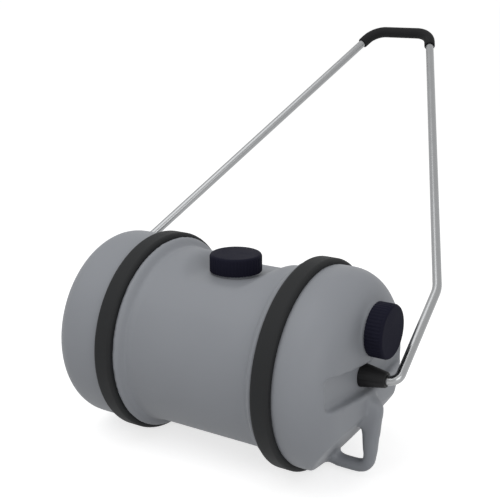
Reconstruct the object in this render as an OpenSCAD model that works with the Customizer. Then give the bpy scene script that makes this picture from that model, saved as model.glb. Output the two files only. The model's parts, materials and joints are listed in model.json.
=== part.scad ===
// Rolling water barrel: a hollow moulded drum on two tyre bands, pulled by a steel bail
// that turns in a bush at each end. The floor is z = 0 and the axle lies along X.

/* [Barrel] */
// Diameter of the drum beside the tyre bands
shoulder_d = 342; // [336:1:346]
// Diameter of the waist between the tyre bands
waist_d = 314; // [304:1:320]
// Length of the straight waist
waist_l = 220; // [200:1:230]
// Width of the flat rim beside each tyre band
rim_w = 6; // [4:0.5:10]
// Radius of the hollow flare between waist and rim
flare_r = 40; // [32:1:60]
// Distance from the drum's middle to the edge of the plain end
plain_end_l = 274; // [266:1:282]
// Rounding of the plain end
plain_corner_r = 40; // [32:1:48]
// Distance from the drum's middle to the edge of the outlet end
outlet_end_l = 258; // [252:1:262]
// Rounding of the outlet end
outlet_corner_r = 62; // [54:1:66]
// Height of the shallow dome on each end
dome_h = 5; // [3:0.5:6]
// Wall of the drum
wall = 4; // [3:0.25:5]

/* [Tyre bands] */
// Diameter of each tyre band
tyre_d = 360; // [356:1:366]
// Width of each tyre band
tyre_w = 34; // [28:1:38]
// Distance between the middles of the tyre bands
tyre_spacing = 310; // [304:1:318]
// Depth of the groove that holds each tyre band
groove_depth = 5; // [3:0.5:7]
// Rounding of the tyre band's outer edges
tyre_edge_r = 6; // [3:0.5:9]
// Clearance between each tyre band and its groove
tyre_gap = 0.1; // [0.05:0.05:0.4]

/* [Caps and necks] */
// Diameter of each cap over its ribs
cap_d = 90; // [86:1:94]
// Height of each cap
cap_h = 30; // [28:0.5:33]
// Thickness of the cap's skirt behind the ribs
cap_wall = 2.6; // [2:0.1:3]
// Thickness of the cap's top
cap_top = 4; // [3:0.5:5]
// Rounding of the cap's top edge
cap_edge_r = 4; // [2:0.5:5]
// Number of grip ribs round a cap
cap_ribs = 48; // [24:1:60]
// Depth of the grip ribs
rib_depth = 0.6; // [0.4:0.1:1.2]
// Outer diameter of each threaded neck
neck_d = 79; // [76:0.5:80]
// Bore of each neck
neck_bore = 72; // [66:0.5:73]
// Thickness of the sealing ring
seal_t = 3; // [2:0.25:4]
// Clearance between the sealing ring and the cap's skirt
seal_gap = 0.5; // [0.3:0.1:0.8]
// Height of the filler cap's top above the axle
filler_top = 168; // [164:1:172]
// Distance of the outlet cap's face from the drum's middle
outlet_face = 295; // [290:0.5:296]
// Height of the outlet neck above the axle
outlet_rise = 83; // [80:1:86]
// Gap between a fitted cap's skirt and the floor of its well
skirt_gap = 4; // [3:0.5:6]
// Finger room between a cap and the wall of its well
well_gap = 6; // [5:0.5:10]
// Rounded lip of the filler well
well_lip_r = 36; // [24:1:44]

/* [Hub pockets] */
// Distance of each pocket's floor from the drum's middle
pocket_floor = 244; // [238:1:247]
// Distance from the axle to each end of a pocket
pocket_reach = 139; // [130:1:142]
// Height of a pocket's upper edge at its ends
pocket_mouth_top = 40; // [34:1:44]
// Drop of a pocket's lower edge at its ends
pocket_mouth_drop = 15; // [10:1:22]
// Half height of a pocket at the hub
pocket_hub_half = 26; // [24:1:30]
// Rounding of a pocket's corners
pocket_corner_r = 11; // [8:1:13]

/* [Hub bushes] */
// Diameter of a bush at the pocket's floor
bush_base_d = 41; // [38:1:46]
// Diameter of a bush at its tip
bush_tip_d = 26; // [23:0.5:30]
// Length of a bush in front of the pocket's floor
bush_l = 44; // [40:0.5:45]
// Diameter of the spigot that holds a bush in the drum
spigot_d = 28; // [25:0.5:32]
// Length of the spigot
spigot_l = 16; // [10:0.5:20]
// Clearance of the spigot in its socket
spigot_gap = 0.1; // [0.05:0.05:0.3]
// Running clearance of the bail in its bush
bail_gap = 0.05; // [0.02:0.01:0.1]

/* [Grab handle] */
// Thickness of the moulded grab handle
grab_t = 26; // [22:1:30]
// Thickness of the grab handle's bar
grab_bar = 20; // [16:1:22]
// Farthest reach of the grab handle from the drum's middle
grab_reach = 283; // [278:1:288]
// Drop of the grab handle's lowest edge below the axle
grab_drop = 173; // [168:1:175]
// Drop of the grab handle's top below the axle
grab_top_drop = 35; // [33:1:42]
// Outer rounding of the grab handle's low corner
grab_corner_r = 28; // [24:1:32]
// Distance from the drum's middle to the toe of the slanted undercut
undercut_toe = 184; // [180:1:190]
// Drop of the undercut's upper edge below the axle
undercut_drop = 66; // [60:1:72]

/* [Bail] */
// Diameter of the steel tube
tube_d = 16; // [14:0.5:18]
// Wall of the steel tube
tube_wall = 1.5; // [1:0.1:2]
// Distance between the middles of the bail's two arms at the hub
bail_span = 612; // [606:1:620]
// Distance from the axle to the knee of each arm
knee_reach = 190; // [180:1:210]
// Distance from the axle to the middle of the bail's top bar
bail_reach = 828; // [760:1:880]
// Width of the bail's top between the corners of its centre line
bail_top_w = 126; // [110:1:150]
// Bend radius at the hub
hub_bend_r = 16; // [14:0.5:17]
// Bend radius at the knee
knee_bend_r = 60; // [40:1:80]
// Bend radius at the top
top_bend_r = 40; // [30:1:45]
// Lean of the bail from upright
bail_lean = 52.8; // [0:0.1:80]
// Distance from the drum's middle to the bail's end inside each bush
bail_end = 234; // [230:0.5:240]
// Diameter of the hand grip
grip_d = 22; // [20:0.5:26]
// Length of the hand grip along each arm
grip_arm_l = 14; // [14:1:36]
// Clearance between the hand grip and the tube
grip_gap = 0.1; // [0.05:0.05:0.2]

/* [Hidden] */
$fn = 96;
hull_fn = 32;
overrun = 1;
axle_z = tyre_d / 2;
shoulder_r = shoulder_d / 2;
waist_r = waist_d / 2;
tyre_x = tyre_spacing / 2;
groove_r = shoulder_r - groove_depth;
rim_x = tyre_x - tyre_w / 2 - tyre_gap - rim_w;
// Chord of the flare from the waist's end to the rim, as drum radius and distance along the axle
flare_rise = shoulder_r - waist_r;
flare_run = rim_x - waist_l / 2;
flare_chord = norm([flare_rise, flare_run]);
flare_sag = sqrt(flare_r * flare_r - flare_chord * flare_chord / 4);
flare_centre = [waist_r + flare_rise / 2 + flare_sag * flare_run / flare_chord,
                waist_l / 2 + flare_run / 2 - flare_sag * flare_rise / flare_chord];
cap_r = cap_d / 2;
cap_core_r = cap_r - rib_depth;
cap_bore_r = cap_core_r - cap_wall;
neck_r = neck_d / 2;
seal_r = cap_bore_r - seal_gap;
rim_drop = cap_top + seal_t;
filler_base = filler_top - cap_h;
outlet_base = outlet_face - cap_h;
well_r = cap_r + well_gap;
// Inner face of the flat pad that carries the outlet's neck
outlet_pad_x = outlet_end_l - 2 * wall;
bush_base_r = bush_base_d / 2;
bush_tip_r = bush_tip_d / 2;
spigot_r = spigot_d / 2;
socket_r = spigot_r + spigot_gap;
tube_r = tube_d / 2;
bail_x = bail_span / 2;
top_x = bail_top_w / 2;
arm_turn = atan2(bail_x - top_x, bail_reach - knee_reach);
top_turn = 90 - arm_turn;
knee_trim = knee_bend_r * tan(arm_turn / 2);
top_trim = top_bend_r * tan(top_turn / 2);
// Swelling of the bail at the ends of its bends
bend_swell = 0.04;
undercut_turn = atan2(shoulder_r - undercut_drop, outlet_end_l - undercut_toe);

// Lays a shape built along Z on the axle, with its Z towards the outlet end
module along_axle() {
  translate([0, 0, axle_z]) rotate([0, 90, 0]) children();
}

// Places a shape built on Z at the filler, with its zero at a height above the axle
module at_filler(rise) {
  translate([0, 0, axle_z + rise]) children();
}

// Places a shape built on Z at the outlet, with its zero at a distance from the drum's middle
module at_outlet(reach) {
  translate([reach, 0, axle_z + outlet_rise]) rotate([0, 90, 0]) children();
}

// A quarter disc for a rounded edge
module quarter_disc(r) {
  intersection() {
    circle(r);
    square(r);
  }
}

// Half section of one end of the drum, inside the skin by inset: drum radius and distance along the axle
module end_section(end_l, corner_r, inset) {
  flat_r = shoulder_r - corner_r;
  dome_r = (flat_r * flat_r + dome_h * dome_h) / (2 * dome_h);
  start = waist_l / 2;
  difference() {
    union() {
      translate([0, start]) square([shoulder_r - inset, end_l - corner_r - start]);
      translate([0, start]) square([flat_r, end_l - inset - start]);
      translate([flat_r, end_l - corner_r]) quarter_disc(corner_r - inset);
      intersection() {
        translate([0, end_l - inset + dome_h - dome_r]) circle(dome_r, $fn = 4 * $fn);
        translate([0, end_l - inset]) square([flat_r, dome_h]);
      }
    }
    translate(flare_centre) circle(flare_r + inset);
    translate([groove_r - inset, tyre_x - tyre_w / 2 - tyre_gap - inset])
      square([shoulder_r, tyre_w + 2 * tyre_gap + 2 * inset]);
  }
}

// The whole drum as a solid of revolution, inside the skin by inset
module drum(inset) {
  along_axle() rotate_extrude() union() {
    translate([0, -waist_l / 2]) square([waist_r - inset, waist_l]);
    end_section(outlet_end_l, outlet_corner_r, inset);
    mirror([0, 1]) end_section(plain_end_l, plain_corner_r, inset);
  }
}

// The round well of the filler, which falls from the waist over a wide rounded lip, grown by grow
module filler_well(grow) {
  lip_x = well_r + well_lip_r;
  lip_z = waist_r - well_lip_r;
  floor_z = filler_base - skirt_gap - grow;
  at_filler(0) rotate_extrude() difference() {
    translate([0, floor_z]) square([lip_x, shoulder_r - floor_z]);
    translate([lip_x, lip_z]) circle(well_lip_r - grow);
    translate([well_r + grow, lip_z - shoulder_d]) square([lip_x, shoulder_d]);
  }
}

// The shallow round well of the outlet
module outlet_well() {
  at_outlet(outlet_base - skirt_gap) cylinder(r = well_r, h = cap_h);
}

// One side of a pocket's outline, from the hub to its end, with round corners
module pocket_outline() {
  mouth_y = pocket_reach - pocket_corner_r;
  hub_z = pocket_hub_half - pocket_corner_r;
  for (side = [-1, 1]) hull() {
    translate([side * mouth_y, pocket_mouth_top - pocket_corner_r]) circle(pocket_corner_r, $fn = hull_fn);
    translate([side * mouth_y, pocket_corner_r - pocket_mouth_drop]) circle(pocket_corner_r, $fn = hull_fn);
    translate([0, hub_z]) circle(pocket_corner_r, $fn = hull_fn);
    translate([0, -hub_z]) circle(pocket_corner_r, $fn = hull_fn);
  }
}

// The same outline with square corners, larger by the wall
module pocket_wall_outline() {
  reach = pocket_reach + wall;
  polygon([[-reach, pocket_mouth_top + wall], [0, pocket_hub_half + wall], [reach, pocket_mouth_top + wall],
           [reach, -pocket_mouth_drop - wall], [0, -pocket_hub_half - wall], [-reach, -pocket_mouth_drop - wall]]);
}

// Cuts an outline into both ends of the drum, down to a distance from the drum's middle
module into_ends(floor_x) {
  for (side = [0, 1]) mirror([side, 0, 0]) translate([floor_x, 0, axle_z]) rotate([90, 0, 90])
    linear_extrude(plain_end_l + 2 * dome_h - floor_x) children();
}

// What the slanted undercut takes from the outlet end, moved into the drum by inset
module undercut(inset) {
  size = 2 * shoulder_d;
  translate([undercut_toe, 0, axle_z - shoulder_r]) rotate([0, -undercut_turn, 0])
    translate([-size / 2, -size / 2, inset - size]) cube(size);
}

// Outline of the grab handle's loop, as distance along the axle and height from it
module grab_outline() {
  head_r = grab_bar;
  toe_r = grab_bar;
  hole_r = grab_corner_r - grab_bar;
  low_x = grab_reach - head_r / 2 - grab_corner_r;
  low_z = grab_corner_r - grab_drop;
  difference() {
    hull() {
      translate([grab_reach - head_r, -grab_top_drop - head_r]) circle(head_r, $fn = hull_fn);
      translate([low_x, low_z]) circle(grab_corner_r, $fn = hull_fn);
      translate([undercut_toe + toe_r, toe_r - grab_drop]) circle(toe_r, $fn = hull_fn);
    }
    hull() {
      translate([grab_reach - 2 * grab_bar, -undercut_drop - grab_bar]) circle(hole_r / 2, $fn = hull_fn);
      translate([low_x, low_z]) circle(hole_r, $fn = hull_fn);
      translate([undercut_toe + grab_bar, grab_bar + hole_r - grab_drop]) circle(hole_r, $fn = hull_fn);
    }
  }
}

module grab_handle() {
  translate([0, grab_t / 2, axle_z]) rotate([90, 0, 0]) linear_extrude(grab_t) grab_outline();
}

// Solid boss inside the drum behind each hub
module hub_boss() {
  for (side = [0, 1]) mirror([side, 0, 0]) along_axle()
    translate([0, 0, pocket_floor - spigot_l - wall])
      cylinder(r = socket_r + wall, h = spigot_l + wall);
}

// Room for the water inside the drum
module cavity() {
  difference() {
    drum(wall);
    filler_well(wall);
    at_outlet(outlet_pad_x) cylinder(r = well_r + wall, h = outlet_face - outlet_pad_x);
    into_ends(pocket_floor - wall) pocket_wall_outline();
    undercut(wall);
    hub_boss();
  }
}

module barrel() {
  filler_floor = filler_base - skirt_gap;
  outlet_floor = outlet_base - skirt_gap;
  color([0.53, 0.54, 0.56]) difference() {
    union() {
      difference() {
        drum(0);
        filler_well(0);
        outlet_well();
        into_ends(pocket_floor) pocket_outline();
        undercut(0);
      }
      grab_handle();
      at_filler(filler_floor - wall) cylinder(r = neck_r, h = wall + filler_top - rim_drop - filler_floor);
      at_outlet(outlet_floor - wall) cylinder(r = neck_r, h = wall + outlet_face - rim_drop - outlet_floor);
    }
    cavity();
    at_filler(filler_floor - wall - overrun) cylinder(d = neck_bore, h = cap_h + wall + 2 * overrun);
    at_outlet(outlet_pad_x - overrun) cylinder(d = neck_bore, h = outlet_face - outlet_pad_x);
    for (side = [0, 1]) mirror([side, 0, 0]) along_axle()
      translate([0, 0, pocket_floor - spigot_l]) cylinder(r = socket_r, h = spigot_l + overrun);
  }
}

// A tyre band with rounded outer edges
module tyre(side) {
  inner_r = groove_r + tyre_gap;
  outer_r = tyre_d / 2;
  half_w = tyre_w / 2;
  color([0.13, 0.13, 0.14]) along_axle() translate([0, 0, side * tyre_x]) rotate_extrude() {
    translate([inner_r, -half_w]) square([outer_r - tyre_edge_r - inner_r, tyre_w]);
    translate([inner_r, tyre_edge_r - half_w]) square([outer_r - inner_r, tyre_w - 2 * tyre_edge_r]);
    translate([outer_r - tyre_edge_r, half_w - tyre_edge_r]) quarter_disc(tyre_edge_r);
    translate([outer_r - tyre_edge_r, tyre_edge_r - half_w]) mirror([0, 1]) quarter_disc(tyre_edge_r);
  }
}

// Outline of the cap's skirt with its grip ribs
module rib_outline() {
  step = 360 / cap_ribs;
  shares = [0, 0.15, 0.5, 0.65];
  radii = [cap_core_r, cap_r, cap_r, cap_core_r];
  polygon([for (i = [0:cap_ribs - 1], k = [0:3])
    radii[k] * [cos(step * (i + shares[k])), sin(step * (i + shares[k]))]]);
}

// A ribbed screw cap, open below, with its skirt's edge at zero
module cap() {
  rib_h = cap_h - cap_edge_r;
  color([0.12, 0.12, 0.16]) difference() {
    union() {
      linear_extrude(rib_h) rib_outline();
      rotate_extrude() {
        square([cap_core_r, rib_h]);
        square([cap_core_r - cap_edge_r, cap_h]);
        translate([cap_core_r - cap_edge_r, rib_h]) quarter_disc(cap_edge_r);
      }
    }
    translate([0, 0, -overrun]) cylinder(r = cap_bore_r, h = cap_h - cap_top + overrun);
  }
}

// A flat ring between the neck's rim and the cap
module seal() {
  color([0.2, 0.2, 0.2]) difference() {
    cylinder(r = seal_r, h = seal_t);
    translate([0, 0, -overrun]) cylinder(d = neck_bore, h = seal_t + 2 * overrun);
  }
}

// A tapered bush with a spigot, bored through for the bail
module hub_bush() {
  color([0.13, 0.13, 0.14]) along_axle() difference() {
    union() {
      translate([0, 0, pocket_floor]) cylinder(r1 = bush_base_r, r2 = bush_tip_r, h = bush_l);
      translate([0, 0, pocket_floor - spigot_l]) cylinder(r = spigot_r, h = spigot_l);
    }
    translate([0, 0, pocket_floor - spigot_l - overrun])
      cylinder(r = tube_r + bail_gap, h = spigot_l + bush_l + 2 * overrun);
  }
}

// Tilts the bail's plane about the axle, with the arms along the tilted Z
module on_bail() {
  translate([0, 0, axle_z]) rotate([-bail_lean, 0, 0]) children();
}

// A round bar that starts up Z and bends towards -X by turn, swelling a little at both ends of the bend
module bar_bend(r, bend_r, turn) {
  translate([-bend_r, 0, 0]) {
    rotate([90, 0, 0]) rotate_extrude(angle = turn) translate([bend_r, 0]) circle(r);
    for (angle = [0, turn]) rotate([0, -angle, 0]) translate([bend_r, 0, 0]) sphere(r + bend_swell);
  }
}

// A round bar along the bail's top: the top bar, its two bends and a straight of arm_l below each bend
module top_bar(r, arm_l) {
  half_l = top_x - top_trim;
  translate([-half_l, 0, bail_reach]) rotate([0, 90, 0]) cylinder(r = r, h = 2 * half_l);
  for (side = [0, 1]) mirror([side, 0, 0])
    translate([top_x, 0, bail_reach]) rotate([0, -arm_turn, 0]) translate([0, 0, -top_trim]) {
      translate([0, 0, -arm_l]) cylinder(r = r, h = arm_l);
      bar_bend(r, top_bend_r, top_turn);
    }
}

// A round bar along the whole bail, from end_x in one bush to the same place in the other
module bail_bar(r, end_x) {
  arm_l = norm([bail_x - top_x, bail_reach - knee_reach]) - knee_trim - top_trim;
  for (side = [0, 1]) mirror([side, 0, 0]) {
    translate([end_x, 0, 0]) rotate([0, 90, 0]) cylinder(r = r, h = bail_x - hub_bend_r - end_x);
    translate([bail_x - hub_bend_r, 0, 0]) rotate([0, 90, 0]) bar_bend(r, hub_bend_r, 90);
    translate([bail_x, 0, hub_bend_r]) cylinder(r = r, h = knee_reach - knee_trim - hub_bend_r);
    translate([bail_x, 0, knee_reach - knee_trim]) bar_bend(r, knee_bend_r, arm_turn);
  }
  top_bar(r, arm_l);
}

module left_tyre() tyre(-1);
module right_tyre() tyre(1);
module filler_cap() at_filler(filler_base) cap();
module filler_cap_seal() at_filler(filler_top - rim_drop) seal();
module outlet_cap() at_outlet(outlet_base) cap();
module outlet_cap_seal() at_outlet(outlet_face - rim_drop) seal();
module left_hub_bush() mirror([1, 0, 0]) hub_bush();
module right_hub_bush() hub_bush();

module bail_tube() {
  color([0.66, 0.67, 0.68]) on_bail() difference() {
    bail_bar(tube_r, bail_end);
    bail_bar(tube_r - tube_wall, bail_end - overrun);
  }
}

module hand_grip() {
  color([0.1, 0.1, 0.11]) on_bail() difference() {
    top_bar(grip_d / 2, grip_arm_l);
    top_bar(tube_r + grip_gap, grip_arm_l + overrun);
  }
}

barrel();
left_tyre();
right_tyre();
filler_cap();
filler_cap_seal();
outlet_cap();
outlet_cap_seal();
left_hub_bush();
right_hub_bush();
bail_tube();
hand_grip();
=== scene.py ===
import json
import math

import bpy
from bpy.props import FloatProperty, FloatVectorProperty, IntProperty, PointerProperty
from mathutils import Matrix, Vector

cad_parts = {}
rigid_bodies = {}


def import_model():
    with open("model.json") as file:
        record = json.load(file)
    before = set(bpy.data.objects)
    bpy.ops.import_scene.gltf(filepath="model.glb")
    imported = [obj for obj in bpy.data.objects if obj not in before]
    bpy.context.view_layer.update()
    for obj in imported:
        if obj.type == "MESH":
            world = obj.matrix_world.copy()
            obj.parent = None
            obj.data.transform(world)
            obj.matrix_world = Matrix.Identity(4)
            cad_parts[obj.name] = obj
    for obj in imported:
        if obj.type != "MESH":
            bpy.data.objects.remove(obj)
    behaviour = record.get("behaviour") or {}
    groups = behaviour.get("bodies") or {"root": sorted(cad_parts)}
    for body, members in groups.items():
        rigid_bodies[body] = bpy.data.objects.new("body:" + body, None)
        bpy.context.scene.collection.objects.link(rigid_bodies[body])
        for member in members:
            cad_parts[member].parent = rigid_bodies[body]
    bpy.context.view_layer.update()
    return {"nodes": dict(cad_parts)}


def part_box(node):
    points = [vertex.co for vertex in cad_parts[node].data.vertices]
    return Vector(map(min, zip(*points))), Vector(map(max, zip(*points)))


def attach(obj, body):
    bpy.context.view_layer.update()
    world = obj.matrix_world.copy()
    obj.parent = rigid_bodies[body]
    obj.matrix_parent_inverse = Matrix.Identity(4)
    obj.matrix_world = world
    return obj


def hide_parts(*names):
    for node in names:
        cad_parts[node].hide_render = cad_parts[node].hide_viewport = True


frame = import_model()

bl_info = {
    "name": "Rolling Water Barrel",
    "version": (1, 0, 0),
    "blender": (4, 5, 0),
    "location": "View3D > Sidebar > Barrel",
    "description": "Dresses a rolling water barrel: moulded drum, tyre bands, caps, bushes, bail and grip",
    "category": "Object",
}

NODES = frame["nodes"]

# Places taken from the frame, in metres
FILLER_LOW, FILLER_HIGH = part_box("filler_cap_seal")
FILLER_CAP_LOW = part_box("filler_cap")[0]
OUTLET_LOW, OUTLET_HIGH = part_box("outlet_cap_seal")
OUTLET_CAP_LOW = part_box("outlet_cap")[0]
TYRE_LOW, TYRE_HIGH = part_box("right_tyre")
AXLE_Z = (TYRE_LOW.z + TYRE_HIGH.z) / 2
OUTLET_Z = (OUTLET_LOW.z + OUTLET_HIGH.z) / 2

# Fineness of the meshes
MERGE_DISTANCE = 0.00001
PLUG_SIDES = 96
SADDLE_CELLS = (96, 48)
THREAD_STEPS = 64
EASE_SEGMENTS = 2
SMOOTH_FACTOR = 0.5

# Angles past which an edge counts as sharp
FLAT_ANGLE = math.radians(1)
CAP_ANGLE = math.radians(32)
MOULDED_ANGLE = math.radians(40)
GRIP_ANGLE = math.radians(50)

# Shares of the size that they multiply
BORE_REACH_SHARE = 1.008
SADDLE_LENGTH_SHARE = 1.3
SADDLE_LIP_SHARE = 1.1

# Surface patterns
GRAIN_GROUP = "Surface grain"
PATCH_DETAIL = 5.0
GRAIN_DETAIL = 3.0
GRAIN_DEPTH = 0.0004
NOISE_MIDDLE = 0.5
GLOSS_SWING = 0.16
FLOOR_ROUGHNESS = 0.9
WHITE = (1.0, 1.0, 1.0, 1.0)


# Settings

class BarrelSizes(bpy.types.PropertyGroup):
    """Sizes of the dressed barrel"""

    wall: FloatProperty(
        name="Wall", description="Thickness of the drum's wall", default=0.004, unit="LENGTH")
    skin_voxel: FloatProperty(
        name="Skin voxel", description="Grain of the drum's remeshed skin",
        default=0.0037, unit="LENGTH")
    skin_passes: IntProperty(
        name="Skin passes", description="Smoothing passes that round the drum's moulded edges", default=5)
    neck_bore: FloatProperty(
        name="Neck bore", description="Bore radius of both necks", default=0.036, unit="LENGTH")
    neck_radius: FloatProperty(
        name="Neck radius", description="Outer radius of both necks", default=0.0395, unit="LENGTH")
    neck_depth: FloatProperty(
        name="Neck depth", description="Depth below a neck's rim that its bore doesn't pass",
        default=0.042, unit="LENGTH")
    saddle_drop: FloatProperty(
        name="Saddle drop", description="Drop from the filler cap's skirt to the saddle's floor",
        default=0.004, unit="LENGTH")
    saddle_flat: FloatProperty(
        name="Saddle flat", description="Half width of the saddle's flat floor",
        default=0.044, unit="LENGTH")
    saddle_half: FloatProperty(
        name="Saddle half width", description="Half width of the whole saddle",
        default=0.098, unit="LENGTH")
    saddle_rise: FloatProperty(
        name="Saddle rise", description="Rise of the saddle's flanks from floor to lip",
        default=0.025, unit="LENGTH")
    saddle_fall: FloatProperty(
        name="Saddle fall", description="Slope at which the saddle's floor falls away behind the filler",
        default=0.1)
    saddle_room: FloatProperty(
        name="Saddle room", description="Height above the saddle that is cut clear",
        default=0.1, unit="LENGTH")
    saddle_passes: IntProperty(
        name="Saddle passes", description="Further passes that blend the saddle into the drum", default=48)
    grab_half: FloatProperty(
        name="Grab half thickness", description="Half thickness of the zone that is rounded as grab handle",
        default=0.0145, unit="LENGTH")
    grab_root: FloatProperty(
        name="Grab root", description="Place along the axle at which that zone starts",
        default=0.183, unit="LENGTH")
    grab_top: FloatProperty(
        name="Grab top", description="Height of that zone above the ground",
        default=0.15, unit="LENGTH")
    grab_passes: IntProperty(
        name="Grab passes", description="Further passes that round the grab handle's bars", default=34)
    bead_start: FloatProperty(
        name="Bead start", description="Distance from the middle at which each bead meets the waist",
        default=0.12, unit="LENGTH")
    bead_height: FloatProperty(
        name="Bead height", description="Swell of the bead beside each tyre band",
        default=0.003, unit="LENGTH")
    crease_half: FloatProperty(
        name="Crease half width", description="Half width of the crease beside each bead",
        default=0.006, unit="LENGTH")
    crease_depth: FloatProperty(
        name="Crease depth", description="Depth of the crease beside each bead",
        default=0.002, unit="LENGTH")
    thread_pitch: FloatProperty(
        name="Thread pitch", description="Rise of the neck thread in one turn",
        default=0.006, unit="LENGTH")
    thread_height: FloatProperty(
        name="Thread height", description="Height of the neck thread", default=0.0013, unit="LENGTH")
    thread_turns: IntProperty(
        name="Thread turns", description="Turns of the neck thread", default=2)
    cap_ease: FloatProperty(
        name="Cap easing", description="Rounding of the caps' moulded edges",
        default=0.0003, unit="LENGTH")
    bush_ease: FloatProperty(
        name="Bush easing", description="Rounding of the bushes' edges", default=0.0012, unit="LENGTH")
    grip_ease: FloatProperty(
        name="Grip easing", description="Rounding of the hand grip's ends", default=0.0016, unit="LENGTH")


class BarrelColours(bpy.types.PropertyGroup):
    """Colours of the dressed barrel"""

    drum: FloatVectorProperty(
        name="Drum", description="Cool grey of the moulded drum", subtype="COLOR",
        default=(0.262, 0.274, 0.297))
    tyre: FloatVectorProperty(
        name="Tyre", description="Black of the tyre bands", subtype="COLOR",
        default=(0.021, 0.022, 0.023))
    cap: FloatVectorProperty(
        name="Cap", description="Blue-black of the caps", subtype="COLOR",
        default=(0.0115, 0.0115, 0.021))
    bush: FloatVectorProperty(
        name="Bush", description="Black of the hub bushes", subtype="COLOR",
        default=(0.014, 0.014, 0.015))
    steel: FloatVectorProperty(
        name="Steel", description="Plated steel of the bail", subtype="COLOR",
        default=(0.305, 0.31, 0.315))
    grip: FloatVectorProperty(
        name="Grip", description="Black of the hand grip", subtype="COLOR",
        default=(0.012, 0.012, 0.013))
    seal: FloatVectorProperty(
        name="Seal", description="Grey of the sealing rings", subtype="COLOR",
        default=(0.03, 0.03, 0.03))
    floor: FloatVectorProperty(
        name="Floor", description="Pale floor", subtype="COLOR",
        default=(0.62, 0.62, 0.62))


class StageSettings(bpy.types.PropertyGroup):
    """Camera, floor and light"""

    camera_place: FloatVectorProperty(
        name="Camera", description="Place of the camera", default=(0.8863, -1.366, 0.8164), unit="LENGTH")
    camera_pitch: FloatProperty(
        name="Pitch", description="Tilt of the camera from straight down",
        default=math.radians(74.15), subtype="ANGLE")
    camera_yaw: FloatProperty(
        name="Yaw", description="Turn of the camera about the vertical",
        default=math.radians(32.13), subtype="ANGLE")
    camera_lens: FloatProperty(
        name="Lens", description="Focal length of the camera in millimetres", default=71.59)
    camera_sensor: FloatProperty(
        name="Sensor", description="Width of the camera's sensor in millimetres", default=36.0)
    camera_reach: FloatProperty(
        name="Reach", description="Distance to which the camera sees", default=200.0, unit="LENGTH")
    floor_width: FloatProperty(
        name="Floor", description="Width of the floor", default=80.0, unit="LENGTH")
    floor_glow: FloatProperty(
        name="Floor glow", description="Strength that makes the floor read as white to the camera",
        default=0.7)
    room_light: FloatProperty(
        name="Room light", description="Strength of the even light from all sides", default=0.5)
    key_place: FloatVectorProperty(
        name="Key place", description="Place of the large lamp above", default=(-0.6, -0.9, 2.6),
        unit="LENGTH")
    key_width: FloatProperty(
        name="Key width", description="Width of the large lamp above", default=2.4, unit="LENGTH")
    key_power: FloatProperty(
        name="Key power", description="Power of the large lamp above", default=25.0, unit="POWER")
    fill_place: FloatVectorProperty(
        name="Fill place", description="Place of the lamp beside the camera", default=(2.2, -1.6, 1.2),
        unit="LENGTH")
    fill_width: FloatProperty(
        name="Fill width", description="Width of the lamp beside the camera", default=1.6, unit="LENGTH")
    fill_power: FloatProperty(
        name="Fill power", description="Power of the lamp beside the camera", default=17.0, unit="POWER")


# Modelling helpers

def deselect_all():
    """Leaves nothing selected, in object mode"""
    if bpy.context.object and bpy.context.object.mode != "OBJECT":
        bpy.ops.object.mode_set(mode="OBJECT")
    bpy.ops.object.select_all(action="DESELECT")


def activate(piece):
    """Makes one piece the only selected and the active one"""
    deselect_all()
    piece.select_set(True)
    bpy.context.view_layer.objects.active = piece


def edit(piece):
    """Opens a piece in edit mode with everything selected"""
    activate(piece)
    bpy.ops.object.mode_set(mode="EDIT")
    bpy.ops.mesh.select_mode(type="FACE")
    bpy.ops.mesh.select_all(action="SELECT")


def close_edit():
    """Returns to object mode"""
    bpy.ops.object.mode_set(mode="OBJECT")


def fill_and_orient():
    """In edit mode, closes every hole and points all faces outwards"""
    bpy.ops.mesh.select_all(action="SELECT")
    bpy.ops.mesh.fill_holes(sides=0)
    bpy.ops.mesh.select_all(action="SELECT")
    bpy.ops.mesh.quads_convert_to_tris()
    bpy.ops.mesh.normals_make_consistent(inside=False)


def copy_node(node, name):
    """Copies a frame node's mesh into a new piece and joins its loose triangles"""
    piece = bpy.data.objects.new(name, NODES[node].data.copy())
    bpy.context.scene.collection.objects.link(piece)
    piece.data.materials.clear()
    edit(piece)
    bpy.ops.mesh.remove_doubles(threshold=MERGE_DISTANCE)
    close_edit()
    return piece


def select_faces(piece, wanted):
    """Opens a piece in edit mode with the faces selected whose centre passes a test"""
    mesh = piece.data
    mesh.vertices.foreach_set("select", [False] * len(mesh.vertices))
    mesh.edges.foreach_set("select", [False] * len(mesh.edges))
    mesh.polygons.foreach_set("select", [wanted(face.center) for face in mesh.polygons])
    activate(piece)
    bpy.ops.object.mode_set(mode="EDIT")
    bpy.ops.mesh.select_mode(type="FACE")


def apply_modifier(piece, kind, **values):
    """Adds a modifier with its values and applies it"""
    activate(piece)
    modifier = piece.modifiers.new(kind.title(), kind)
    for key, value in values.items():
        setattr(modifier, key, value)
    bpy.ops.object.modifier_apply(modifier=modifier.name)


def combine(piece, other, operation):
    """Cuts or joins a piece with another solid, which is used up"""
    apply_modifier(piece, "BOOLEAN", operation=operation, object=other, solver="EXACT")
    bpy.data.objects.remove(other)


def smooth_by_angle(piece, angle):
    """Shades a piece smooth but for edges sharper than an angle"""
    activate(piece)
    bpy.ops.object.shade_smooth_by_angle(angle=angle)


def dress(piece, material):
    """Gives a piece one material"""
    piece.data.materials.clear()
    piece.data.materials.append(material)


def stand_for(piece, node, body, material):
    """Puts a finished piece in a frame node's place"""
    dress(piece, material)
    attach(piece, body)
    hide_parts(node)


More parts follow.
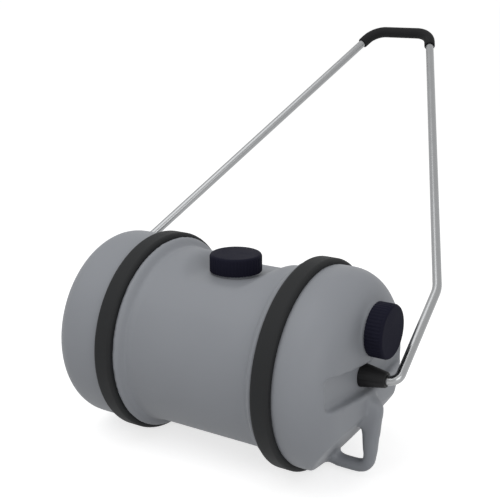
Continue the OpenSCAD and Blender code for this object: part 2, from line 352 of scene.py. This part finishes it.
def eased_copy(node, name, width, angle):
    """Copies a node and rounds its edges that are sharper than an angle"""
    piece = copy_node(node, name)
    edit(piece)
    bpy.ops.mesh.dissolve_limited(angle_limit=FLAT_ANGLE)
    close_edit()
    apply_modifier(piece, "BEVEL", width=width, segments=EASE_SEGMENTS, limit_method="ANGLE",
                   angle_limit=angle, use_clamp_overlap=True)
    smooth_by_angle(piece, angle)
    return piece


# Materials

def set_inputs(node, values):
    """Sets a node's inputs by name"""
    for label, value in values.items():
        node.inputs[label].default_value = value


def math_node(tree, operation, *terms):
    """Output of a math node whose terms are numbers or sockets"""
    node = tree.nodes.new("ShaderNodeMath")
    node.operation = operation
    for socket, term in zip(node.inputs, terms):
        if isinstance(term, bpy.types.NodeSocket):
            tree.links.new(term, socket)
        else:
            socket.default_value = term
    return node.outputs[0]


def noise(tree, place, scale, detail):
    """Output of a noise pattern at a place, of a scale that is a socket"""
    node = tree.nodes.new("ShaderNodeTexNoise")
    node.inputs["Detail"].default_value = detail
    tree.links.new(place, node.inputs["Vector"])
    tree.links.new(scale, node.inputs["Scale"])
    return node.outputs["Fac"]


def node_group(name, inputs, outputs):
    """Starts a shader node group with float or colour sockets"""
    group = bpy.data.node_groups.new(name, "ShaderNodeTree")
    for label, kind in inputs:
        group.interface.new_socket(name=label, in_out="INPUT", socket_type=kind)
    for label, kind in outputs:
        group.interface.new_socket(name=label, in_out="OUTPUT", socket_type=kind)
    entry = group.nodes.new("NodeGroupInput").outputs
    leave = group.nodes.new("NodeGroupOutput").inputs
    return group, entry, leave


def surface_grain():
    """Group for every finish: a mottled colour, an uneven roughness and a fine grain height"""
    if GRAIN_GROUP in bpy.data.node_groups:
        return bpy.data.node_groups[GRAIN_GROUP]
    group, entry, leave = node_group(
        GRAIN_GROUP,
        [("Color", "NodeSocketColor"), ("Mottle", "NodeSocketFloat"), ("Patch scale", "NodeSocketFloat"),
         ("Grain scale", "NodeSocketFloat"), ("Roughness", "NodeSocketFloat")],
        [("Color", "NodeSocketColor"), ("Roughness", "NodeSocketFloat"), ("Height", "NodeSocketFloat")])
    place = group.nodes.new("ShaderNodeTexCoord").outputs["Object"]
    patch = noise(group, place, entry["Patch scale"], PATCH_DETAIL)
    grain = noise(group, place, entry["Grain scale"], GRAIN_DETAIL)
    centred = math_node(group, "SUBTRACT", patch, NOISE_MIDDLE)
    swing = math_node(group, "MULTIPLY_ADD", centred, entry["Mottle"], 1.0)
    gloss = math_node(group, "MULTIPLY_ADD", centred, GLOSS_SWING, entry["Roughness"])
    tint = group.nodes.new("ShaderNodeVectorMath")
    tint.operation = "SCALE"
    group.links.new(entry["Color"], tint.inputs[0])
    group.links.new(swing, tint.inputs["Scale"])
    group.links.new(tint.outputs["Vector"], leave["Color"])
    group.links.new(gloss, leave["Roughness"])
    group.links.new(grain, leave["Height"])
    return group


def surface_material(name, colour, mottle, patch, grain, roughness, bump, specular,
                     depth=GRAIN_DEPTH, metallic=0.0):
    """A plastic, rubber or metal surface with its own values in the shared grain"""
    material = bpy.data.materials.new(name)
    material.use_nodes = True
    nodes = material.node_tree.nodes
    link = material.node_tree.links.new
    shader = nodes["Principled BSDF"]
    set_inputs(shader, {"Specular IOR Level": specular, "Metallic": metallic})
    surface = nodes.new("ShaderNodeGroup")
    surface.node_tree = surface_grain()
    set_inputs(surface, {"Color": (*colour, 1.0), "Mottle": mottle, "Patch scale": patch,
                         "Grain scale": grain, "Roughness": roughness})
    relief = nodes.new("ShaderNodeBump")
    set_inputs(relief, {"Strength": bump, "Distance": depth})
    link(surface.outputs["Color"], shader.inputs["Base Color"])
    link(surface.outputs["Roughness"], shader.inputs["Roughness"])
    link(surface.outputs["Height"], relief.inputs["Height"])
    link(relief.outputs["Normal"], shader.inputs["Normal"])
    return material


def finish(name):
    """Returns a named finish, made on its first use"""
    if name in bpy.data.materials:
        return bpy.data.materials[name]
    colours = bpy.context.scene.barrel_colours
    recipes = {
        "Drum polyethylene": dict(
            colour=colours.drum, mottle=0.10, patch=9.0, grain=1500.0,
            roughness=0.52, bump=0.10, specular=0.30),
        "Tyre rubber": dict(
            colour=colours.tyre, mottle=0.30, patch=24.0, grain=1100.0,
            roughness=0.68, bump=0.25, specular=0.16),
        "Cap plastic": dict(
            colour=colours.cap, mottle=0.18, patch=30.0, grain=1400.0,
            roughness=0.58, bump=0.10, specular=0.03),
        "Bush plastic": dict(
            colour=colours.bush, mottle=0.20, patch=40.0, grain=1400.0,
            roughness=0.55, bump=0.12, specular=0.16),
        "Grip rubber": dict(
            colour=colours.grip, mottle=0.25, patch=50.0, grain=1600.0,
            roughness=0.72, bump=0.40, specular=0.16),
        "Seal rubber": dict(
            colour=colours.seal, mottle=0.20, patch=40.0, grain=1400.0,
            roughness=0.70, bump=0.20, specular=0.35),
        "Plated steel": dict(
            colour=colours.steel, mottle=0.12, patch=40.0, grain=900.0,
            roughness=0.27, bump=0.03, specular=0.50, depth=0.0002, metallic=1.0),
    }
    return surface_material(name, **recipes[name])


# Drum

def in_bore(place):
    """True on the wall of either neck's bore"""
    sizes = bpy.context.scene.barrel_sizes
    reach = sizes.neck_bore * BORE_REACH_SHARE
    filler_depth = FILLER_LOW.z - place.z
    if math.hypot(place.x, place.y) < reach and 0 < filler_depth < sizes.neck_depth:
        return True
    outlet_depth = OUTLET_LOW.x - place.x
    return math.hypot(place.y, place.z - OUTLET_Z) < reach and 0 < outlet_depth < sizes.neck_depth


def keep_linked(piece, direction, keep):
    """Keeps or deletes the part of a mesh that is joined to its vertex farthest along a direction"""
    mesh = piece.data
    start = max(mesh.vertices, key=lambda vertex: vertex.co.dot(direction)).index
    activate(piece)
    bpy.ops.object.mode_set(mode="EDIT")
    bpy.ops.mesh.select_mode(type="VERT")
    bpy.ops.mesh.select_all(action="DESELECT")
    close_edit()
    mesh.vertices[start].select = True
    bpy.ops.object.mode_set(mode="EDIT")
    bpy.ops.mesh.select_linked()
    if keep:
        bpy.ops.mesh.select_all(action="INVERT")
    bpy.ops.mesh.delete(type="VERT")
    close_edit()


def saddle_height(across, along):
    """Height of the saddle's floor at a place across its trough and along it"""
    sizes = bpy.context.scene.barrel_sizes
    share = (abs(across) - sizes.saddle_flat) / (sizes.saddle_half - sizes.saddle_flat)
    share = min(max(share, 0.0), 1.0)
    flank = sizes.saddle_rise * share * share * (3.0 - 2.0 * share)
    return FILLER_CAP_LOW.z - sizes.saddle_drop + flank - sizes.saddle_fall * max(along, 0.0)


def saddle_cutter(drop):
    """A solid above the saddle, set lower by a drop"""
    sizes = bpy.context.scene.barrel_sizes
    cells_across, cells_along = SADDLE_CELLS
    deselect_all()
    bpy.ops.mesh.primitive_grid_add(x_subdivisions=cells_across, y_subdivisions=cells_along,
                                    size=2 * sizes.saddle_half)
    cutter = bpy.context.object
    for vertex in cutter.data.vertices:
        vertex.co.y *= SADDLE_LENGTH_SHARE
        vertex.co.z = saddle_height(vertex.co.x, vertex.co.y) - drop
    edit(cutter)
    bpy.ops.mesh.extrude_region_move(TRANSFORM_OT_translate={"value": (0.0, 0.0, sizes.saddle_room)})
    bpy.ops.mesh.select_all(action="SELECT")
    bpy.ops.mesh.normals_make_consistent(inside=False)
    close_edit()
    return cutter


def plug(radius, length, middle, turn):
    """A cylinder about a middle, turned from upright towards the outlet's end"""
    deselect_all()
    bpy.ops.mesh.primitive_cylinder_add(vertices=PLUG_SIDES, radius=radius, depth=length,
                                        location=middle, rotation=(0.0, turn, 0.0))
    bpy.ops.object.transform_apply(location=True, rotation=True)
    return bpy.context.object


def filler_plug(radius, low, high):
    """An upright cylinder on the filler's axis"""
    return plug(radius, high - low, (0.0, 0.0, (low + high) / 2), 0.0)


def outlet_plug(radius, low, high):
    """A lying cylinder on the outlet's axis"""
    return plug(radius, high - low, ((low + high) / 2, 0.0, OUTLET_Z), math.pi / 2)


def on_saddle(place):
    """True on the saddle and its lips, clear of the filler's neck"""
    sizes = bpy.context.scene.barrel_sizes
    clear = math.hypot(place.x, place.y) > sizes.neck_radius + 2 * sizes.wall
    beside = abs(place.x) < SADDLE_LIP_SHARE * sizes.saddle_half
    return clear and beside and place.z > AXLE_Z + sizes.saddle_half


def on_grab_handle(place):
    """True on the moulded grab handle under the outlet's end"""
    sizes = bpy.context.scene.barrel_sizes
    outside = place.x > sizes.grab_root and place.z < TYRE_LOW.z + sizes.grab_top
    return outside and abs(place.y) < sizes.grab_half


def soften(skin, wanted, passes):
    """Smooths the part of a skin whose vertices pass a test"""
    zone = skin.vertex_groups.new(name="Soft")
    zone.add([vertex.index for vertex in skin.data.vertices if wanted(vertex.co)], 1.0, "REPLACE")
    apply_modifier(skin, "SMOOTH", factor=SMOOTH_FACTOR, iterations=passes, vertex_group=zone.name)
    skin.vertex_groups.clear()


def add_bead(vertex):
    """Swells the drum into a bead beside each tyre band, with a crease where the bead meets the waist"""
    sizes = bpy.context.scene.barrel_sizes
    away = abs(vertex.co.x) - sizes.bead_start
    width = TYRE_LOW.x - sizes.bead_start
    radius = math.hypot(vertex.co.y, vertex.co.z - AXLE_Z)
    change = 0.0
    if abs(away) < sizes.crease_half:
        change -= sizes.crease_depth * (1.0 - (away / sizes.crease_half) ** 2) ** 2
    if 0.0 < away < width:
        change += sizes.bead_height * math.sin(math.pi * away / width)
    vertex.co.y *= 1.0 + change / radius
    vertex.co.z = AXLE_Z + (vertex.co.z - AXLE_Z) * (1.0 + change / radius)


def drum_skin():
    """The drum's outer skin with stopped necks, remeshed so that its moulded edges are round"""
    sizes = bpy.context.scene.barrel_sizes
    skin = copy_node("barrel", "drum_shell")
    select_faces(skin, in_bore)
    bpy.ops.mesh.delete(type="FACE")
    close_edit()
    keep_linked(skin, Vector((1, 0, 0)), keep=True)
    edit(skin)
    fill_and_orient()
    close_edit()
    combine(skin, saddle_cutter(0.0), "DIFFERENCE")
    apply_modifier(skin, "REMESH", mode="VOXEL", voxel_size=sizes.skin_voxel, adaptivity=0.0)
    apply_modifier(skin, "SMOOTH", factor=SMOOTH_FACTOR, iterations=sizes.skin_passes)
    soften(skin, on_saddle, sizes.saddle_passes)
    soften(skin, on_grab_handle, sizes.grab_passes)
    for vertex in skin.data.vertices:
        add_bead(vertex)
    foot = sizes.saddle_drop + sizes.wall
    combine(skin, filler_plug(sizes.neck_radius, FILLER_CAP_LOW.z - foot, FILLER_LOW.z), "UNION")
    combine(skin, outlet_plug(sizes.neck_radius, OUTLET_CAP_LOW.x - foot, OUTLET_LOW.x), "UNION")
    return skin


def close_rims(cavity):
    """Draws the cavity's open rims, which are selected, out past the necks and closes them"""
    sizes = bpy.context.scene.barrel_sizes
    bpy.ops.object.mode_set(mode="EDIT")
    bpy.ops.mesh.extrude_region_move()
    close_edit()
    for vertex in cavity.data.vertices:
        if vertex.select and vertex.co.x > sizes.neck_radius:
            vertex.co.x += sizes.wall
        elif vertex.select:
            vertex.co.z += sizes.wall
    bpy.ops.object.mode_set(mode="EDIT")
    fill_and_orient()
    close_edit()


def drum_cavity():
    """The water's room inside the drum, with both bores, as a closed solid"""
    sizes = bpy.context.scene.barrel_sizes
    cavity = copy_node("barrel", "drum_cavity")
    select_faces(cavity, in_bore)
    bpy.ops.mesh.split()
    bpy.ops.mesh.separate(type="SELECTED")
    close_edit()
    bores = next(piece for piece in bpy.context.selected_objects if piece is not cavity)
    keep_linked(cavity, Vector((1, 0, 0)), keep=False)
    activate(cavity)
    bores.select_set(True)
    bpy.ops.object.join()
    edit(cavity)
    bpy.ops.mesh.remove_doubles(threshold=MERGE_DISTANCE)
    bpy.ops.mesh.select_mode(type="EDGE")
    bpy.ops.mesh.select_all(action="DESELECT")
    bpy.ops.mesh.select_non_manifold()
    close_edit()
    close_rims(cavity)
    combine(cavity, saddle_cutter(sizes.wall), "DIFFERENCE")
    bore_foot = FILLER_CAP_LOW.z - sizes.saddle_drop - 2 * sizes.wall
    combine(cavity, filler_plug(sizes.neck_bore, bore_foot, FILLER_HIGH.z), "UNION")
    return cavity


class BARREL_OT_drum(bpy.types.Operator):
    """Makes the moulded drum: a soft-edged skin hollowed by the water's room"""

    bl_idname = "barrel.drum"
    bl_label = "Drum"

    def execute(self, context):
        skin = drum_skin()
        combine(skin, drum_cavity(), "DIFFERENCE")
        smooth_by_angle(skin, MOULDED_ANGLE)
        stand_for(skin, "barrel", "drum", finish("Drum polyethylene"))
        return {"FINISHED"}


# Smaller pieces

class BARREL_OT_tyres(bpy.types.Operator):
    """Gives the tyre bands their rubber"""

    bl_idname = "barrel.tyres"
    bl_label = "Tyre bands"

    def execute(self, context):
        for node in ("left_tyre", "right_tyre"):
            dress(NODES[node], finish("Tyre rubber"))
        return {"FINISHED"}


class BARREL_OT_caps(bpy.types.Operator):
    """Makes the ribbed caps with eased edges, and dresses their sealing rings"""

    bl_idname = "barrel.caps"
    bl_label = "Caps and seals"

    def execute(self, context):
        ease = context.scene.barrel_sizes.cap_ease
        for node, body in (("filler_cap", "filler"), ("outlet_cap", "outlet")):
            cap = eased_copy(node, node + "_moulding", ease, CAP_ANGLE)
            stand_for(cap, node, body, finish("Cap plastic"))
        for node in ("filler_cap_seal", "outlet_cap_seal"):
            dress(NODES[node], finish("Seal rubber"))
        return {"FINISHED"}


class BARREL_OT_bushes(bpy.types.Operator):
    """Makes the tapered hub bushes with eased edges"""

    bl_idname = "barrel.bushes"
    bl_label = "Hub bushes"

    def execute(self, context):
        ease = context.scene.barrel_sizes.bush_ease
        for node in ("left_hub_bush", "right_hub_bush"):
            bush = eased_copy(node, node + "_moulding", ease, MOULDED_ANGLE)
            stand_for(bush, node, "drum", finish("Bush plastic"))
        return {"FINISHED"}


class BARREL_OT_bail(bpy.types.Operator):
    """Gives the bail its plated steel and makes the hand grip with rounded ends"""

    bl_idname = "barrel.bail"
    bl_label = "Bail and grip"

    def execute(self, context):
        ease = context.scene.barrel_sizes.grip_ease
        dress(NODES["bail_tube"], finish("Plated steel"))
        grip = eased_copy("hand_grip", "hand_grip_sleeve", ease, GRIP_ANGLE)
        stand_for(grip, "hand_grip", "bail", finish("Grip rubber"))
        return {"FINISHED"}


def neck_thread(name):
    """A thread ridge that climbs Z from zero, round a neck on the Z axis"""
    sizes = bpy.context.scene.barrel_sizes
    deselect_all()
    bpy.ops.mesh.primitive_plane_add(size=1.0)
    ridge = bpy.context.object
    ridge.name = name
    root = sizes.neck_radius - sizes.thread_height / 2
    crest = sizes.neck_radius + sizes.thread_height
    half_root = sizes.thread_pitch / 4
    half_crest = sizes.thread_pitch / 8
    corners = [(root, -half_root), (crest, -half_crest), (root, half_root), (crest, half_crest)]
    for vertex, (across, up) in zip(ridge.data.vertices, corners):
        vertex.co = (across, 0.0, up)
    apply_modifier(ridge, "SCREW", axis="Z", angle=math.tau, screw_offset=sizes.thread_pitch,
                   iterations=sizes.thread_turns, steps=THREAD_STEPS, use_merge_vertices=False)
    edit(ridge)
    bpy.ops.mesh.remove_doubles(threshold=MERGE_DISTANCE)
    bpy.ops.mesh.fill_holes(sides=0)
    bpy.ops.mesh.select_all(action="SELECT")
    bpy.ops.mesh.normals_make_consistent(inside=False)
    close_edit()
    smooth_by_angle(ridge, MOULDED_ANGLE)
    return ridge


class BARREL_OT_threads(bpy.types.Operator):
    """Winds the thread ridge round each neck, under its cap"""

    bl_idname = "barrel.threads"
    bl_label = "Neck threads"

    def execute(self, context):
        sizes = context.scene.barrel_sizes
        drop = sizes.thread_pitch * (sizes.thread_turns + 1)
        filler = neck_thread("filler_neck_thread")
        filler.location = (0.0, 0.0, FILLER_LOW.z - drop)
        outlet = neck_thread("outlet_neck_thread")
        outlet.rotation_euler = (0.0, math.pi / 2, 0.0)
        outlet.location = (OUTLET_LOW.x - drop, 0.0, OUTLET_Z)
        for thread in (filler, outlet):
            activate(thread)
            bpy.ops.object.transform_apply(location=True, rotation=True, scale=True)
            dress(thread, finish("Drum polyethylene"))
            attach(thread, "drum")
        return {"FINISHED"}


# Stage

def seen_directly(tree):
    """Socket that is one to the camera and in mirror-like surfaces, and nought to the rest"""
    path = tree.nodes.new("ShaderNodeLightPath")
    return math_node(tree, "MAXIMUM", path.outputs["Is Camera Ray"], path.outputs["Is Glossy Ray"])


def pale_floor(width, colour, glow):
    """Floor that reads as white to the camera and still takes the soft shadow"""
    material = bpy.data.materials.new("Pale floor")
    material.use_nodes = True
    tree = material.node_tree
    shader = tree.nodes["Principled BSDF"]
    set_inputs(shader, {"Base Color": (*colour, 1.0), "Roughness": FLOOR_ROUGHNESS,
                        "Specular IOR Level": 0.0, "Emission Color": WHITE})
    level = math_node(tree, "MULTIPLY", seen_directly(tree), glow)
    tree.links.new(level, shader.inputs["Emission Strength"])
    deselect_all()
    bpy.ops.mesh.primitive_plane_add(size=width)
    floor = bpy.context.object
    floor.name = "floor"
    dress(floor, material)


def light_room(strength):
    """White world to the camera and to metal, and an even light of a given strength to the rest"""
    world = bpy.data.worlds.new("Room")
    bpy.context.scene.world = world
    world.use_nodes = True
    tree = world.node_tree
    background = tree.nodes["Background"]
    set_inputs(background, {"Color": WHITE})
    level = tree.nodes.new("ShaderNodeMapRange")
    set_inputs(level, {"To Min": strength, "To Max": 1.0})
    tree.links.new(seen_directly(tree), level.inputs["Value"])
    tree.links.new(level.outputs["Result"], background.inputs["Strength"])


def area_lamp(name, place, width, power):
    """A square soft lamp at a place, aimed at the middle of the drum"""
    data = bpy.data.lights.new(name, "AREA")
    data.shape = "SQUARE"
    data.size = width
    data.energy = power
    lamp = bpy.data.objects.new(name, data)
    lamp.location = place
    aim = Vector((0.0, 0.0, AXLE_Z)) - Vector(place)
    lamp.rotation_euler = aim.to_track_quat("-Z", "Y").to_euler()
    bpy.context.scene.collection.objects.link(lamp)


def photo_camera(stage):
    """Camera at the photograph's view"""
    data = bpy.data.cameras.new("Photo camera")
    data.lens = stage.camera_lens
    data.sensor_width = stage.camera_sensor
    data.clip_end = stage.camera_reach
    camera = bpy.data.objects.new("Photo camera", data)
    camera.location = stage.camera_place
    camera.rotation_euler = (stage.camera_pitch, 0.0, stage.camera_yaw)
    bpy.context.scene.collection.objects.link(camera)
    bpy.context.scene.camera = camera


class BARREL_OT_stage(bpy.types.Operator):
    """Sets the camera at the photograph's view, the floor, the lamps and the room light"""

    bl_idname = "barrel.stage"
    bl_label = "Stage"

    def execute(self, context):
        stage = context.scene.barrel_stage
        photo_camera(stage)
        pale_floor(stage.floor_width, context.scene.barrel_colours.floor, stage.floor_glow)
        area_lamp("Key lamp", stage.key_place, stage.key_width, stage.key_power)
        area_lamp("Fill lamp", stage.fill_place, stage.fill_width, stage.fill_power)
        light_room(stage.room_light)
        context.scene.view_settings.view_transform = "Standard"
        return {"FINISHED"}


class BARREL_PT_panel(bpy.types.Panel):
    """Sidebar list of the barrel's pieces"""

    bl_idname = "BARREL_PT_panel"
    bl_label = "Rolling Water Barrel"
    bl_space_type = "VIEW_3D"
    bl_region_type = "UI"
    bl_category = "Barrel"

    def draw(self, context):
        scene = context.scene
        for operator in OPERATORS:
            self.layout.operator(operator.bl_idname)
        for group in (scene.barrel_sizes, scene.barrel_colours, scene.barrel_stage):
            box = self.layout.box()
            for name in group.__annotations__:
                box.prop(group, name)


OPERATORS = (BARREL_OT_stage, BARREL_OT_drum, BARREL_OT_tyres, BARREL_OT_caps, BARREL_OT_bushes,
             BARREL_OT_bail, BARREL_OT_threads)
CLASSES = (BarrelSizes, BarrelColours, StageSettings, *OPERATORS, BARREL_PT_panel)


def register():
    """Adds the settings, operators and panel to Blender"""
    for item in CLASSES:
        bpy.utils.register_class(item)
    bpy.types.Scene.barrel_sizes = PointerProperty(type=BarrelSizes)
    bpy.types.Scene.barrel_colours = PointerProperty(type=BarrelColours)
    bpy.types.Scene.barrel_stage = PointerProperty(type=StageSettings)


def unregister():
    """Takes the settings, operators and panel out again"""
    del bpy.types.Scene.barrel_sizes
    del bpy.types.Scene.barrel_colours
    del bpy.types.Scene.barrel_stage
    for item in reversed(CLASSES):
        bpy.utils.unregister_class(item)


def main():
    """Builds the dressed barrel on its stage"""
    register()
    bpy.ops.barrel.stage()
    bpy.ops.barrel.drum()
    bpy.ops.barrel.tyres()
    bpy.ops.barrel.caps()
    bpy.ops.barrel.bushes()
    bpy.ops.barrel.bail()
    bpy.ops.barrel.threads()


if __name__ == "__main__":
    main()
